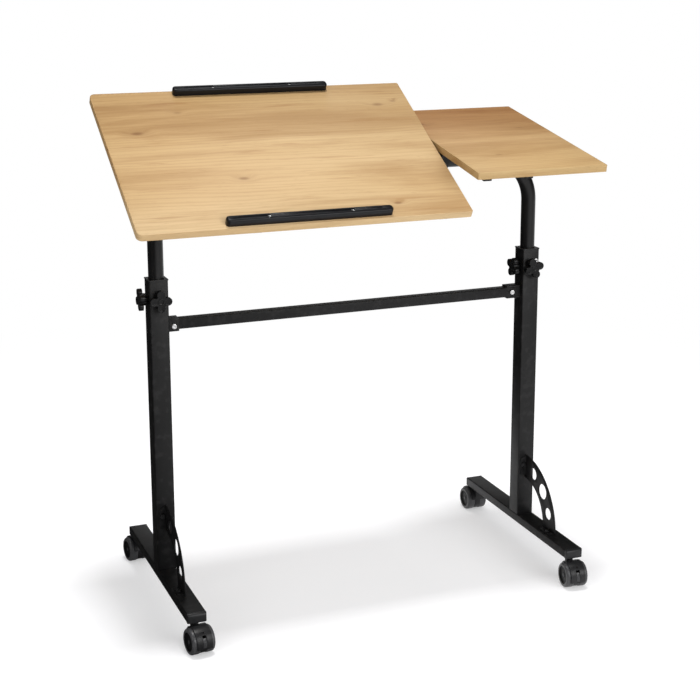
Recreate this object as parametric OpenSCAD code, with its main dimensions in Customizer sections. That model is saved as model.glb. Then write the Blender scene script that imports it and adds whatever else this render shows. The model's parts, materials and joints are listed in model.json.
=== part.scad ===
// Height adjustable desk on castors: two tilting boards share one bent lift tube that
// slides in two square columns. Origin on the floor below the middle, +X to the side board,
// +Y to the back, +Z up. The boards are drawn at the tilts they rest at.

/* [Boards] */
// Width of the main board
main_w = 696; // [640:1:900]
// Width of the side board
side_w = 300; // [280:1:420]
// Gap between the two boards
board_gap = 4; // [2:0.5:10]
// Depth of both boards
board_d = 456; // [420:1:520]
// Thickness of both boards
board_t = 15; // [13:0.5:22]
// Plan radius of the main board's left corners
main_corner_r = 12; // [6:1:30]
// Plan radius of the main board's right corners, beside the side board
main_inner_r = 4; // [3:1:20]
// Plan radius of the side board's corners
side_corner_r = 3; // [3:1:20]
// Thickness of the band glued round each board's edge
band_t = 1; // [0.5:0.1:2]
// Tilt of the main board in degrees
main_tilt = 30; // [0:1:60]
// Tilt of the side board in degrees
side_tilt = 10; // [0:1:60]

/* [Stop rails] */
// Length of each stop rail on the main board
rail_l = 346; // [250:1:500]
// Depth of a stop rail
rail_d = 18; // [15:0.5:25]
// Height of a stop rail
rail_h = 15; // [12:0.5:20]
// Radius along a rail's upper edges
rail_edge_r = 4; // [2:0.5:5]
// Plan radius of a rail's ends
rail_end_r = 6; // [3:0.5:7]
// Distance from the board's front edge to the front rail
rail_inset = 6; // [4:0.5:20]
// Width of the pen groove along a rail
groove_w = 4; // [3:0.5:6]
// Depth of the pen groove along a rail
groove_depth = 1.2; // [0.5:0.1:2]

/* [Columns and feet] */
// Distance between the two columns' middles
col_spacing = 854; // [780:1:1000]
// How far right of the boards' middle the columns stand
col_shift = 14; // [0:1:30]
// Outer width of the square column tube
col_w = 40; // [40:1:50]
// Wall of the square column tube
col_wall = 2; // [1.5:0.1:3]
// Height of the column tops above the floor
col_top = 710; // [600:1:760]
// Length of each foot with its end caps
foot_l = 500; // [440:1:600]
// Width of the foot tube
foot_w = 40; // [40:1:50]
// Height of the foot tube
foot_h = 20; // [20:1:30]
// Wall of the foot tube
foot_wall = 2; // [1.5:0.1:3]
// Thickness of the visible plate of a foot's end cap
cap_t = 8; // [7:0.5:12]
// Depth of an end cap's plug in the foot tube
cap_plug_l = 9; // [6:1:9]
// Thickness of the plate welded in the bottom of a column
base_plate_t = 5; // [4:0.5:8]

/* [Lift tube] */
// Outer diameter of the lift tube
tube_d = 32; // [30:0.5:34]
// Wall of the lift tube
tube_wall = 2; // [1.5:0.1:3]
// Bend radius of the lift tube at its middle line
bend_r = 100; // [90:1:130]
// Height of the lift tube's top run above the column tops
lift_rise = 210; // [200:1:260]
// Length of a lift tube leg below its bend
leg_l = 480; // [430:1:500]
// Length of the plastic bush in the top of a column
bush_l = 60; // [55:1:90]
// Thickness of the bush's rim on top of a column
bush_rim_t = 2; // [1:0.5:4]

/* [Crossbar and gussets] */
// Outer width of the square crossbar
bar_tube_w = 22; // [20:1:25]
// Wall of the square crossbar
bar_tube_wall = 1.5; // [1:0.1:2]
// Distance from the column tops down to the crossbar's middle
bar_drop = 96; // [90:1:200]
// Wall of the crossbar's channel brackets
channel_t = 3; // [2:0.1:4]
// Length of the left channel bracket
left_channel_l = 22; // [20:1:40]
// Length of the right channel bracket
right_channel_l = 34; // [28:1:44]
// Outer radius of a gusset's arc
gusset_r = 144; // [130:1:170]
// Inner radius of a gusset's arc
gusset_in_r = 89; // [75:1:95]
// Thickness of a gusset's plate and flanges
gusset_t = 2.5; // [2:0.1:4]
// Width of a gusset's flanges
flange_w = 15; // [14:0.5:18]
// Diameter of the middle hole in a gusset
gusset_mid_hole = 35; // [25:0.5:36]
// Diameter of the two outer holes in a gusset
gusset_end_hole = 27; // [20:0.5:30]

/* [Board supports] */
// Width of the flat bar under a board
support_w = 18; // [16:1:30]
// Thickness of the flat bar under a board
support_t = 6; // [4:0.5:7]
// Clear height between the lift tube and the flat bars
saddle_rise = 9; // [8:0.5:16]
// Distance from a flat bar's ends to the board's edges
support_inset = 7; // [4:1:30]
// Wall of the collars around the lift tube
collar_wall = 4; // [3:0.5:6]
// Distance of the main board's left support from the main board's left edge
main_left_support = 240; // [230:1:300]
// Distance of the main board's right support from the main board's right edge
main_right_support = 60; // [40:1:120]
// Distance of the side board's left support from the side board's left edge
side_left_support = 26; // [18:1:30]
// Distance between the side board's supports
side_support_pitch = 95; // [84:1:95]

/* [Knobs and screws] */
// Radius of a star knob to the tips of its lobes
knob_r = 23; // [20:0.5:26]
// Number of lobes on every star knob
knob_lobes = 4; // [3:1:6]
// Thickness of a star knob's head
knob_t = 9; // [8:0.5:14]
// Length of a star knob's ribbed hub
hub_l = 6; // [4:0.5:10]
// Distance from the column tops down to the knobs' axes
knob_drop = 40; // [36:1:50]
// Diameter of the threaded studs in the knobs
stud_d = 8; // [6:0.5:10]
// Thickness of the nut welded on a column for a knob
nut_t = 3; // [2:0.5:5]
// Diameter of the frame bolts
bolt_d = 6; // [5:0.5:6]
// Diameter of the screws in the wood
screw_d = 4; // [3.5:0.5:5]

/* [Castors] */
// Height from the floor to the underside of a foot
castor_h = 63; // [60:1:75]
// Diameter of a castor wheel
wheel_d = 54; // [50:1:55]
// Distance between a castor's stem axis and its wheel axis
trail = 22; // [21:0.5:26]
// Width over a castor's two wheels
castor_w = 49; // [46:1:56]
// Width of a castor's hood
hood_w = 33; // [28:1:38]
// Width of the web between a castor's wheels
web_w = 13; // [13:0.5:15]
// Diameter of a castor's stem
stem_d = 8; // [7:0.5:9]
// Distance from a foot's end to the stem axis
stem_inset = 22; // [18:0.5:40]
// Swivel of the front left and the rear left castor in degrees
left_swivel = 8; // [0:1:20]
// Swivel of the front right castor in degrees
right_swivel = 6; // [0:1:20]

/* [Fits] */
// Radial clearance of pieces that slide or turn on each other
run_gap = 0.05; // [0.03:0.01:0.08]
// Clear space between faces that pass each other
face_gap = 0.4; // [0.3:0.1:1]

/* [Hidden] */
$fn = 64;

powder = [0.07, 0.07, 0.075];
plastic = [0.03, 0.03, 0.032];
zinc = [0.72, 0.72, 0.74];
oak = [0.80, 0.62, 0.38];
oak_edge = [0.84, 0.70, 0.46];
tread = [0.22, 0.22, 0.23];

cut = 1;
total_w = main_w + board_gap + side_w;
main_x = -total_w / 2 + main_w / 2;
side_x = total_w / 2 - side_w / 2;
left_x = col_shift - col_spacing / 2;
right_x = col_shift + col_spacing / 2;
foot_top = castor_h + foot_h;
tube_r = tube_d / 2;
axis_z = col_top + lift_rise;
bend_z = axis_z - bend_r;
leg_end_z = bend_z - leg_l;
bar_z = col_top - bar_drop;
knob_z = col_top - knob_drop;
col_in = col_w - 2 * col_wall;

under_h = tube_r + saddle_rise + support_t;
saddle_h = tube_r + saddle_rise;
support_l = board_d - 2 * support_inset;
collar_r = tube_r + collar_wall;
saddle_d = 2 * collar_r;
main_supports = [
    main_x - main_w / 2 + main_left_support,
    main_x + main_w / 2 - main_right_support
];
side_supports = [
    side_x - side_w / 2 + side_left_support,
    side_x - side_w / 2 + side_left_support + side_support_pitch
];
support_screw_end = 20;
support_screw_y = [
    -support_l / 2 + support_screw_end, -support_l / 4, support_l / 4, support_l / 2 - support_screw_end
];
screw_bite = 10;
screw_head_r = screw_d * 0.95;
screw_head_h = 2.4;
rail_screw_x = [-rail_l / 4, rail_l / 4];
rail_seat = 5;

ear_t = 6;
ear_end = 7;
slit = 3;
lock_knob_r = 13;
lock_lobe_r = 4.8;
lock_t = 11;
lock_bore_l = 8;
lock_stud_r = 3;
lock_gap = 1;
lock_z = -(collar_r + lock_knob_r + lock_gap);
ear_low = lock_z - ear_end;

lobe_r = 8.5;
knob_edge = 2.5;
tip_trim = 0.6;
knob_cap_r = 7;
hub_r = 12;
hub_rib = 1.6;
hub_ribs = 8;
nut_r = 7;
bush_rim_over = 1;
bush_rim_w = col_w + 2 * bush_rim_over;
bush_rim_r = 3;
neck_r = 6;
nut_rest = 1.2;
stud_r = stud_d / 2;
stud_tip_gap = 0.4;
stud_bite = 9;
knob_gap = 1;

bolt_r = bolt_d / 2;
bolt_head_r = bolt_d * 0.85;
bolt_head_h = bolt_d * 0.6;
gusset_mid_r = (gusset_r + gusset_in_r) / 2;
gusset_hole_turn = 25.5;
flange_l = 46;
flange_tip = 8;
flange_mid = -flange_w / 2;

foot_bolt_r = 4;
foot_bolt_head_r = 6.5;
foot_bolt_head_h = 5;

wheel_r = wheel_d / 2;
hood_gap = 0.8;
hood_wall = 2.5;
hood_in_r = wheel_r + hood_gap;
hood_r = hood_in_r + hood_wall;
stem_y = foot_l / 2 - stem_inset;
stem_r = stem_d / 2;
stem_sink = 24;
stem_collar_r = 8;
stem_collar_t = 3;
neck_out_r = 8;
neck_end = 12;
neck_foot = 3;
axle_r = 3;
axle_sink = 1;
wheel_side_gap = 0.5;
wheel_w = castor_w / 2 - web_w / 2 - wheel_side_gap;
wheel_edge = 4;
hub_cap_r = wheel_r - 8;
hub_cap_sink = 3;
web_disc_r = wheel_r - 1;
brake_turn = 8;
brake_pivot_r = 19;
brake_slot_w = 8.4;
brake_w = 7.6;
brake_boss_r = 3;
brake_peg_r = 1.5;
brake_room = 2;
brake_slot_span = 30;
brake_span = 20;
brake_lip_turn = 4;
brake_lip = 1.2;
hood_hole_turn = 48;
hood_hole_r = 1.7;
hood_hole_l = 4;

// Places pieces drawn with the lift tube's axis as origin and the board level
module at_board(tilt)
    translate([0, 0, axis_z])
        rotate([tilt, 0, 0])
            children();

// Stands a flat outline drawn as [y, z] up and makes it h thick along X
module along_x(h)
    rotate([90, 0, 90])
        linear_extrude(h, center = true)
            children();

// A cylinder along X, centred
module rod_x(r, h)
    rotate([0, 90, 0])
        cylinder(r = r, h = h, center = true);

// A cylinder that starts at the origin and runs along +Y
module rod_y(r, h)
    rotate([-90, 0, 0])
        cylinder(r = r, h = h);

// A rectangle with radius r at its left corners and radius q at its right ones
module rounded_outline(w, d, r, q) {
    translate([-w / 2 + r, -d / 2]) square([w - r - q, d]);
    translate([-w / 2, -d / 2 + r]) square([w - q, d - 2 * r]);
    translate([-w / 2 + r, -d / 2 + q]) square([w - r, d - 2 * q]);
    for (sy = [-1, 1]) {
        translate([-w / 2 + r, sy * (d / 2 - r)]) circle(r);
        translate([w / 2 - q, sy * (d / 2 - q)]) circle(q);
    }
}

module board_core(x, w, r, q)
    translate([x, 0, under_h])
        linear_extrude(board_t)
            rounded_outline(w - 2 * band_t, board_d - 2 * band_t, r - band_t, q - band_t);

module edge_band(x, w, r, q)
    translate([x, 0, under_h])
        linear_extrude(board_t)
            difference() {
                rounded_outline(w, board_d, r, q);
                rounded_outline(w - 2 * band_t, board_d - 2 * band_t, r - band_t, q - band_t);
            }

// Pilot holes in a board's underside for the screws of its supports
module support_pilots(places)
    for (x = places, y = support_screw_y)
        translate([x, y, under_h - cut])
            cylinder(d = screw_d, h = screw_bite + cut);

module main_board()
    color(oak) at_board(main_tilt) difference() {
        board_core(main_x, main_w, main_corner_r, main_inner_r);
        support_pilots(main_supports);
        for (y = [front_rail_y, rear_rail_y], x = rail_screw_x)
            translate([main_x + x, y, under_h + board_t - screw_bite])
                cylinder(d = screw_d, h = screw_bite + cut);
    }

module main_edge_band()
    color(oak_edge) at_board(main_tilt)
        edge_band(main_x, main_w, main_corner_r, main_inner_r);

module side_board()
    color(oak) at_board(side_tilt) difference() {
        board_core(side_x, side_w, side_corner_r, side_corner_r);
        support_pilots(side_supports);
    }

module side_edge_band()
    color(oak_edge) at_board(side_tilt)
        edge_band(side_x, side_w, side_corner_r, side_corner_r);

front_rail_y = -board_d / 2 + rail_inset + rail_d / 2;
rear_rail_y = board_d / 2 - band_t - rail_d / 2;

// Cross section of a stop rail: flat below, both upper edges rounded, a groove on top
module rail_section()
    difference() {
        union() {
            translate([-rail_d / 2, 0])
                square([rail_d, rail_h - rail_edge_r]);
            translate([-rail_d / 2 + rail_edge_r, 0])
                square([rail_d - 2 * rail_edge_r, rail_h]);
            for (s = [-1, 1])
                translate([s * (rail_d / 2 - rail_edge_r), rail_h - rail_edge_r])
                    circle(rail_edge_r);
        }
        translate([-groove_w / 2, rail_h - groove_depth])
            square([groove_w, groove_depth + cut]);
    }

module stop_rail(y)
    translate([main_x, y, under_h + board_t]) difference() {
        intersection() {
            along_x(rail_l) rail_section();
            linear_extrude(rail_h) rounded_outline(rail_l, rail_d, rail_end_r, rail_end_r);
        }
        for (x = rail_screw_x) translate([x, 0, 0]) {
            translate([0, 0, -cut]) cylinder(d = screw_d, h = rail_h + 2 * cut);
            translate([0, 0, rail_h - rail_seat]) cylinder(r = screw_head_r, h = rail_seat + cut);
        }
    }

module front_stop_rail()
    color(plastic) at_board(main_tilt) stop_rail(front_rail_y);

module rear_stop_rail()
    color(plastic) at_board(main_tilt) stop_rail(rear_rail_y);

// A wood screw along Z: its head's flat underside is at the origin, its shank points down
module wood_screw(shank_l) {
    translate([0, 0, -shank_l]) cylinder(d = screw_d, h = shank_l);
    difference() {
        cylinder(r = screw_head_r, h = screw_head_h);
        translate([0, 0, screw_head_h / 2])
            cylinder(r = screw_head_r / 2, h = screw_head_h, $fn = 6);
    }
}

module rail_screws()
    color(zinc) at_board(main_tilt)
        for (y = [front_rail_y, rear_rail_y], x = rail_screw_x)
            translate([main_x + x, y, under_h + board_t + rail_h - rail_seat])
                wood_screw(rail_h - rail_seat + screw_bite);

// A support: flat bar under the board, saddle block and collar around the lift tube.
// A locking support has a slit collar with two ears that its stud draws together.
module support(x, locking)
    translate([x, 0, 0]) difference() {
        union() {
            translate([-support_w / 2, -support_l / 2, saddle_h])
                cube([support_w, support_l, support_t]);
            translate([-support_w / 2, -saddle_d / 2, 0])
                cube([support_w, saddle_d, saddle_h]);
            rod_x(collar_r, support_w);
            if (locking)
                translate([-support_w / 2, -ear_t - slit / 2, ear_low])
                    cube([support_w, 2 * ear_t + slit, -ear_low]);
        }
        rod_x(tube_r + run_gap, support_w + 2 * cut);
        for (y = support_screw_y)
            translate([0, y, saddle_h - cut]) cylinder(d = screw_d, h = support_t + 2 * cut);
        if (locking) {
            translate([-support_w / 2 - cut, -slit / 2, ear_low - cut])
                cube([support_w + 2 * cut, slit, cut - ear_low]);
            translate([0, -ear_t - slit / 2 - cut, lock_z])
                rod_y(lock_stud_r + run_gap, 2 * ear_t + slit + 2 * cut);
        }
    }

module support_screws(places)
    for (x = places, y = support_screw_y)
        translate([x, y, saddle_h])
            mirror([0, 0, 1]) wood_screw(support_t + screw_bite);

module main_left_support()
    color(powder) at_board(main_tilt) support(main_supports[0], false);

module main_right_support()
    color(powder) at_board(main_tilt) support(main_supports[1], true);

module main_support_screws()
    color(zinc) at_board(main_tilt) support_screws(main_supports);

module side_left_support()
    color(powder) at_board(side_tilt) support(side_supports[0], false);

module side_right_support()
    color(powder) at_board(side_tilt) support(side_supports[1], true);

module side_support_screws()
    color(zinc) at_board(side_tilt) support_screws(side_supports);

// Flat outline of a knob's head with round lobes, which the head's rim trims to radius r
module star_outline(r, tip_r, count)
    for (i = [0 : count - 1])
        rotate(i * 360 / count) {
            translate([r - tip_r + tip_trim, 0]) circle(tip_r);
            translate([0, -tip_r]) square([r - tip_r + tip_trim, 2 * tip_r]);
        }

// Outline [radius, height] that rounds a head of radius r and thickness t at its outer rim
module head_section(r, t, edge) {
    square([r - edge, t]);
    square([r, t - edge]);
    translate([r - edge, t - edge]) circle(edge);
}

// A lock's knob and stud run along +Y behind the ears of a locking support
module lock_knob(x)
    translate([x, ear_t + slit / 2 + lock_gap, lock_z])
        rotate([-90, 0, 0])
            difference() {
                intersection() {
                    linear_extrude(lock_t) star_outline(lock_knob_r, lock_lobe_r, knob_lobes);
                    rotate_extrude() head_section(lock_knob_r, lock_t, knob_edge);
                }
                translate([0, 0, -cut]) cylinder(r = lock_stud_r, h = lock_bore_l + cut);
            }

module lock_stud(x)
    translate([x, 0, lock_z]) {
        translate([0, -ear_t - slit / 2 - face_gap, 0])
            rod_y(lock_stud_r, 2 * ear_t + slit + face_gap + lock_gap + lock_bore_l);
        translate([0, -ear_t - slit / 2 - face_gap - bolt_head_h, 0])
            rod_y(bolt_head_r, bolt_head_h);
    }

module main_lock_knob() color(plastic) at_board(main_tilt) lock_knob(main_supports[1]);
module main_lock_stud() color(zinc) at_board(main_tilt) lock_stud(main_supports[1]);
module side_lock_knob() color(plastic) at_board(side_tilt) lock_knob(side_supports[1]);
module side_lock_stud() color(zinc) at_board(side_tilt) lock_stud(side_supports[1]);

// The bent path of the lift tube as a solid bar of radius r
module lift_path(r, extra) {
    for (x = [left_x, right_x])
        translate([x, 0, leg_end_z - extra]) cylinder(r = r, h = leg_l + extra);
    translate([right_x - bend_r, 0, bend_z])
        rotate([90, 0, 0]) rotate_extrude(angle = 90) translate([bend_r, 0]) circle(r);
    translate([left_x + bend_r, 0, bend_z])
        rotate([90, 0, 0]) rotate([0, 0, 90]) rotate_extrude(angle = 90) translate([bend_r, 0]) circle(r);
    translate([col_shift, 0, axis_z]) rod_x(r, col_spacing - 2 * bend_r);
}

module lift_tube()
    color(powder) difference() {
        lift_path(tube_r, 0);
        lift_path(tube_r - tube_wall, cut);
    }

glide_t = 6;
glide_plug_l = 18;

module lift_tube_glides()
    color(plastic)
        for (x = [left_x, right_x])
            translate([x, 0, leg_end_z]) {
                translate([0, 0, -glide_t])
                    linear_extrude(glide_t)
                        square(col_in - 2 * face_gap, center = true);
                cylinder(r = tube_r - tube_wall, h = glide_plug_l);
            }

// Local frame of a knob: origin on the column's outer face, +Z pointing away from the column
module at_knob(x, side) {
    if (side == "front")
        translate([x, -col_w / 2, knob_z]) rotate([90, 0, 0]) children();
    else
        translate([x - col_w / 2, 0, knob_z]) rotate([0, -90, 0]) children();
}

module column(x)
    difference() {
        translate([x, 0, foot_top])
            linear_extrude(col_top - foot_top)
                square(col_w, center = true);
        translate([x, 0, foot_top + base_plate_t])
            linear_extrude(col_top)
                square(col_in, center = true);
        for (side = ["front", "left"])
            at_knob(x, side) translate([0, 0, -col_wall - cut])
                cylinder(r = neck_r, h = col_wall + 2 * cut);
        translate([x, 0, foot_top - cut])
            cylinder(r = foot_bolt_r, h = base_plate_t + 2 * cut);
        translate([x, -col_w / 2 - cut, 0])
            translate([flange_mid, 0, foot_top + gusset_r - flange_l / 2])
                rod_y(bolt_r, col_wall + 2 * cut);
        if (x == right_x)
            translate([x + stop_x, -col_w / 2 - cut, col_top - stop_drop])
                rod_y(stop_r, col_wall + 2 * cut);
    }

module left_column() color(powder) column(left_x);
module right_column() color(powder) column(right_x);

module column_bushes()
    color(plastic)
        for (x = [left_x, right_x]) difference() {
            translate([x, 0, col_top]) {
                translate([0, 0, -bush_l]) linear_extrude(bush_l + cut / 2) square(col_in, center = true);
                linear_extrude(bush_rim_t)
                    rounded_outline(bush_rim_w, bush_rim_w, bush_rim_r, bush_rim_r);
            }
            translate([x, 0, 0]) cylinder(r = tube_r + run_gap, h = 2 * col_top);
            for (side = ["front", "left"])
                at_knob(x, side) translate([0, 0, -col_w / 2])
                    cylinder(r = neck_r, h = col_w / 2);
            if (x == right_x)
                translate([x + stop_x, -col_w / 2, col_top - stop_drop])
                    rod_y(stop_r, stop_l + stop_room);
        }

// A nut welded on a column: round flange outside, neck through the wall and the bush
module knob_nut()
    difference() {
        union() {
            cylinder(r = nut_r, h = nut_t);
            translate([0, 0, -col_w / 2 + tube_r + nut_rest])
                cylinder(r = neck_r, h = col_w / 2 - tube_r - nut_rest);
        }
        translate([0, 0, -col_w / 2]) cylinder(r = stud_r + run_gap, h = col_w);
    }

module knob_nuts()
    color(powder)
        for (x = [left_x, right_x], side = ["front", "left"])
            at_knob(x, side) knob_nut();

// Flat outline of a knob's hub with round grip ribs, which show between the lobes too
module hub_outline() {
    circle(hub_r);
    for (i = [0 : hub_ribs - 1])
        rotate(i * 360 / hub_ribs) translate([hub_r - hub_rib / 2, 0]) circle(hub_rib);
}

module knob_head(turn)
    rotate(turn) difference() {
        union() {
            translate([0, 0, nut_t + knob_gap])
                linear_extrude(hub_l + knob_t - knob_edge) hub_outline();
            translate([0, 0, nut_t + knob_gap + hub_l])
                intersection() {
                    linear_extrude(knob_t) star_outline(knob_r, lobe_r, knob_lobes);
                    rotate_extrude() head_section(knob_r, knob_t, knob_edge);
                }
        }
        translate([0, 0, nut_t]) cylinder(r = stud_r, h = knob_gap + stud_bite);
        translate([0, 0, nut_t + knob_gap + hub_l + knob_t - cut])
            cylinder(r = knob_cap_r, h = 2 * cut);
    }

module knob_stud()
    translate([0, 0, -col_w / 2 + tube_r + stud_tip_gap])
        cylinder(r = stud_r, h = col_w / 2 - tube_r - stud_tip_gap + nut_t + knob_gap + stud_bite);

module left_front_knob() color(plastic) at_knob(left_x, "front") knob_head(0);
module left_front_stud() color(zinc) at_knob(left_x, "front") knob_stud();
module left_side_knob() color(plastic) at_knob(left_x, "left") knob_head(20);
module left_side_stud() color(zinc) at_knob(left_x, "left") knob_stud();
module right_front_knob() color(plastic) at_knob(right_x, "front") knob_head(20);
module right_front_stud() color(zinc) at_knob(right_x, "front") knob_stud();
module right_side_knob() color(plastic) at_knob(right_x, "left") knob_head(-28);
module right_side_stud() color(zinc) at_knob(right_x, "left") knob_stud();

stop_x = 12;
stop_drop = 26;
stop_r = 2.5;
stop_head_r = 5;
stop_head_h = 3;
stop_l = 5;
stop_room = 1;

module lift_stop_screw()
    color(zinc) translate([right_x + stop_x, -col_w / 2, col_top - stop_drop]) {
        difference() {
            translate([0, -stop_head_h, 0]) rod_y(stop_head_r, stop_head_h);
            translate([0, -stop_head_h - cut, 0]) rod_y(stop_r, 2 * cut, $fn = 6);
        }
        rod_y(stop_r, stop_l);
    }

// A foot lies along Y: rectangular tube with stem holes below and a bolt hole in the middle
module foot(x)
    translate([x, 0, castor_h]) difference() {
        translate([-foot_w / 2, -foot_l / 2 + cap_t, 0])
            cube([foot_w, foot_l - 2 * cap_t, foot_h]);
        translate([-foot_w / 2 + foot_wall, -foot_l / 2, foot_wall])
            cube([foot_w - 2 * foot_wall, foot_l, foot_h - 2 * foot_wall]);
        for (s = [-1, 1])
            translate([0, s * stem_y, -cut]) cylinder(r = stem_r, h = foot_wall + 2 * cut);
        translate([0, 0, -cut]) cylinder(r = foot_bolt_r, h = foot_h + 2 * cut);
        translate([flange_mid, -col_w / 2 - gusset_r + flange_l / 2, foot_h - foot_wall - cut])
            cylinder(r = bolt_r, h = foot_wall + 2 * cut);
    }

module left_foot() color(powder) foot(left_x);
module right_foot() color(powder) foot(right_x);

cap_corner_r = 4;
cap_nose_r = 7;

// Outline [y, z] of an end cap's plate: its outer upper edge is rounded to a soft nose
module cap_outline() {
    translate([-cap_t, 0]) square([cap_t, foot_h - cap_nose_r]);
    translate([-cap_t, 0]) square([cap_t - cap_nose_r, foot_h]);
    translate([-cap_nose_r, foot_h - cap_nose_r]) circle(cap_nose_r);
}

module foot_end_caps()
    color(plastic)
        for (x = [left_x, right_x], s = [-1, 1])
            translate([x, s * foot_l / 2, castor_h]) mirror([0, s < 0 ? 1 : 0, 0]) {
                intersection() {
                    linear_extrude(foot_h)
                        translate([0, -foot_w / 2]) rounded_outline(foot_w, foot_w, cap_corner_r, cap_corner_r);
                    intersection() {
                        along_x(foot_w) cap_outline();
                        translate([-foot_w / 2, -cap_t, 0]) cube([foot_w, cap_t, foot_h]);
                    }
                }
                translate([-foot_w / 2 + foot_wall, -cap_t - cap_plug_l, foot_wall])
                    cube([foot_w - 2 * foot_wall, cap_plug_l, foot_h - 2 * foot_wall]);
            }

module foot_bolts()
    color(zinc)
        for (x = [left_x, right_x])
            translate([x, 0, castor_h]) {
                cylinder(r = foot_bolt_r, h = foot_h + base_plate_t);
                translate([0, 0, -foot_bolt_head_h])
                    cylinder(r = foot_bolt_head_r, h = foot_bolt_head_h, $fn = 6);
                translate([0, 0, foot_h + base_plate_t])
                    cylinder(r = foot_bolt_head_r, h = foot_bolt_head_h, $fn = 6);
            }

// Quarter arc plate in front of a column, with a flange on the column and one on the foot
module gusset(x)
    translate([x, -col_w / 2, foot_top]) mirror([0, 1, 0]) {
        along_x(gusset_t) difference() {
            intersection() {
                circle(gusset_r);
                square(gusset_r);
            }
            circle(gusset_in_r);
            rotate(45) translate([gusset_mid_r, 0]) circle(d = gusset_mid_hole);
            for (s = [-1, 1])
                rotate(45 + s * gusset_hole_turn) translate([gusset_mid_r, 0])
                    circle(d = gusset_end_hole);
        }
        difference() {
            translate([gusset_t / 2, gusset_t, 0]) rotate([90, 0, 0])
                linear_extrude(gusset_t) flange_outline();
            translate([flange_mid, -cut, gusset_r - flange_l / 2]) rod_y(bolt_r, gusset_t + 2 * cut);
        }
        difference() {
            translate([gusset_t / 2, 0, 0])
                linear_extrude(gusset_t) flange_outline();
            translate([flange_mid, gusset_r - flange_l / 2, -cut])
                cylinder(r = bolt_r, h = gusset_t + 2 * cut);
        }
    }

// A flange lies beside the plate and its far end tapers to the plate
module flange_outline()
    polygon([
        [0, gusset_r - flange_l], [-flange_w, gusset_r - flange_l],
        [-flange_w, gusset_r - flange_tip], [-gusset_t, gusset_r - cut], [0, gusset_r - cut]
    ]);

module left_gusset() color(powder) gusset(left_x);
module right_gusset() color(powder) gusset(right_x);

bar_l = col_spacing - col_w;
bolt_end = 2;
right_bolt_share = 0.65;
left_bolt_drop = 3;
left_bolt_x = left_x + col_w / 2 + left_channel_l / 2;
right_bolt_x = right_x - col_w / 2 - right_channel_l * right_bolt_share;
left_bolt_z = bar_z - left_bolt_drop;
bar_bolt_l = bar_tube_w + channel_t;

module crossbar()
    color(powder) translate([col_shift, 0, bar_z]) difference() {
        along_x(bar_l) difference() {
            square(bar_tube_w, center = true);
            square(bar_tube_w - 2 * bar_tube_wall, center = true);
        }
        translate([left_bolt_x - col_shift, -bar_tube_w / 2 - cut, left_bolt_z - bar_z])
            rod_y(bolt_r, bar_tube_w + 2 * cut);
        translate([right_bolt_x - col_shift, -bar_tube_w / 2 - cut, 0])
            rod_y(bolt_r, bar_tube_w + 2 * cut);
    }

// A channel around the crossbar, open to the back, with its web in front
module channel(l)
    along_x(l) difference() {
        translate([-bar_tube_w / 2 - channel_t, -bar_tube_w / 2 - channel_t])
            square([bar_tube_w + channel_t, bar_tube_w + 2 * channel_t]);
        translate([-bar_tube_w / 2, -bar_tube_w / 2])
            square([bar_tube_w + cut, bar_tube_w]);
    }

module left_crossbar_bracket()
    color(powder) difference() {
        translate([left_x + col_w / 2 + left_channel_l / 2, 0, bar_z]) channel(left_channel_l);
        translate([left_bolt_x, -bar_tube_w, left_bolt_z]) rod_y(bolt_r, bar_tube_w);
    }

module right_crossbar_bracket()
    color(powder) difference() {
        translate([right_x - col_w / 2 - right_channel_l / 2, 0, bar_z])
            rotate([0, 0, 180]) channel(right_channel_l);
        translate([right_bolt_x, 0, bar_z]) rod_y(bolt_r, bar_tube_w);
    }

// A frame bolt along +Y: the head's underside is at the origin, the shank points to +Y
module frame_bolt(l) {
    rod_y(bolt_r, l);
    difference() {
        translate([0, -bolt_head_h, 0]) rod_y(bolt_head_r, bolt_head_h);
        translate([0, -bolt_head_h - cut, 0]) rod_y(bolt_head_r / 2, 2 * cut, $fn = 6);
    }
}

gusset_bolt_l = gusset_t + col_wall + bolt_end;

module crossbar_bolts()
    color(zinc) {
        translate([left_bolt_x, -bar_tube_w / 2 - channel_t, left_bolt_z]) frame_bolt(bar_bolt_l);
        translate([right_bolt_x, -bar_tube_w / 2, bar_z]) frame_bolt(bar_bolt_l);
    }

module gusset_bolts()
    color(powder)
        for (x = [left_x, right_x]) {
            translate([x + flange_mid, -col_w / 2 - gusset_t, foot_top + gusset_r - flange_l / 2])
                frame_bolt(gusset_bolt_l);
            translate([x + flange_mid, -col_w / 2 - gusset_r + flange_l / 2, foot_top + gusset_t])
                rotate([-90, 0, 0]) frame_bolt(gusset_bolt_l);
        }

// Local frame of a castor: origin on the stem axis at the foot's underside, the wheels
// trail towards +Y, and castors at the front are mirrored before they swivel
module at_castor(x, front, swivel = 0)
    translate([x, (front ? -1 : 1) * stem_y, castor_h])
        rotate(swivel)
            mirror([0, front ? 1 : 0, 0])
                children();

module at_wheel_axis()
    translate([0, trail, wheel_r - castor_h])
        children();

module castor_stem() {
    cylinder(r = stem_r, h = foot_h - foot_wall);
    translate([0, 0, -stem_collar_t]) cylinder(r = stem_collar_r, h = stem_collar_t);
    translate([0, 0, -stem_sink]) cylinder(r = stem_r, h = stem_sink);
}

module castor_stems()
    color(zinc)
        for (x = [left_x, right_x], front = [true, false])
            at_castor(x, front) castor_stem();

hood_low = -20;
hood_high = 172;
sector_steps = 14;

// The sector of a round hood between two angles, seen along the wheel axis
module hood_sector(r)
    intersection() {
        circle(r);
        polygon(concat([[0, 0]], [
            for (a = [hood_low : (hood_high - hood_low) / sector_steps : hood_high + 1])
                2 * r * [cos(a), sin(a)]
        ]));
    }

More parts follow.
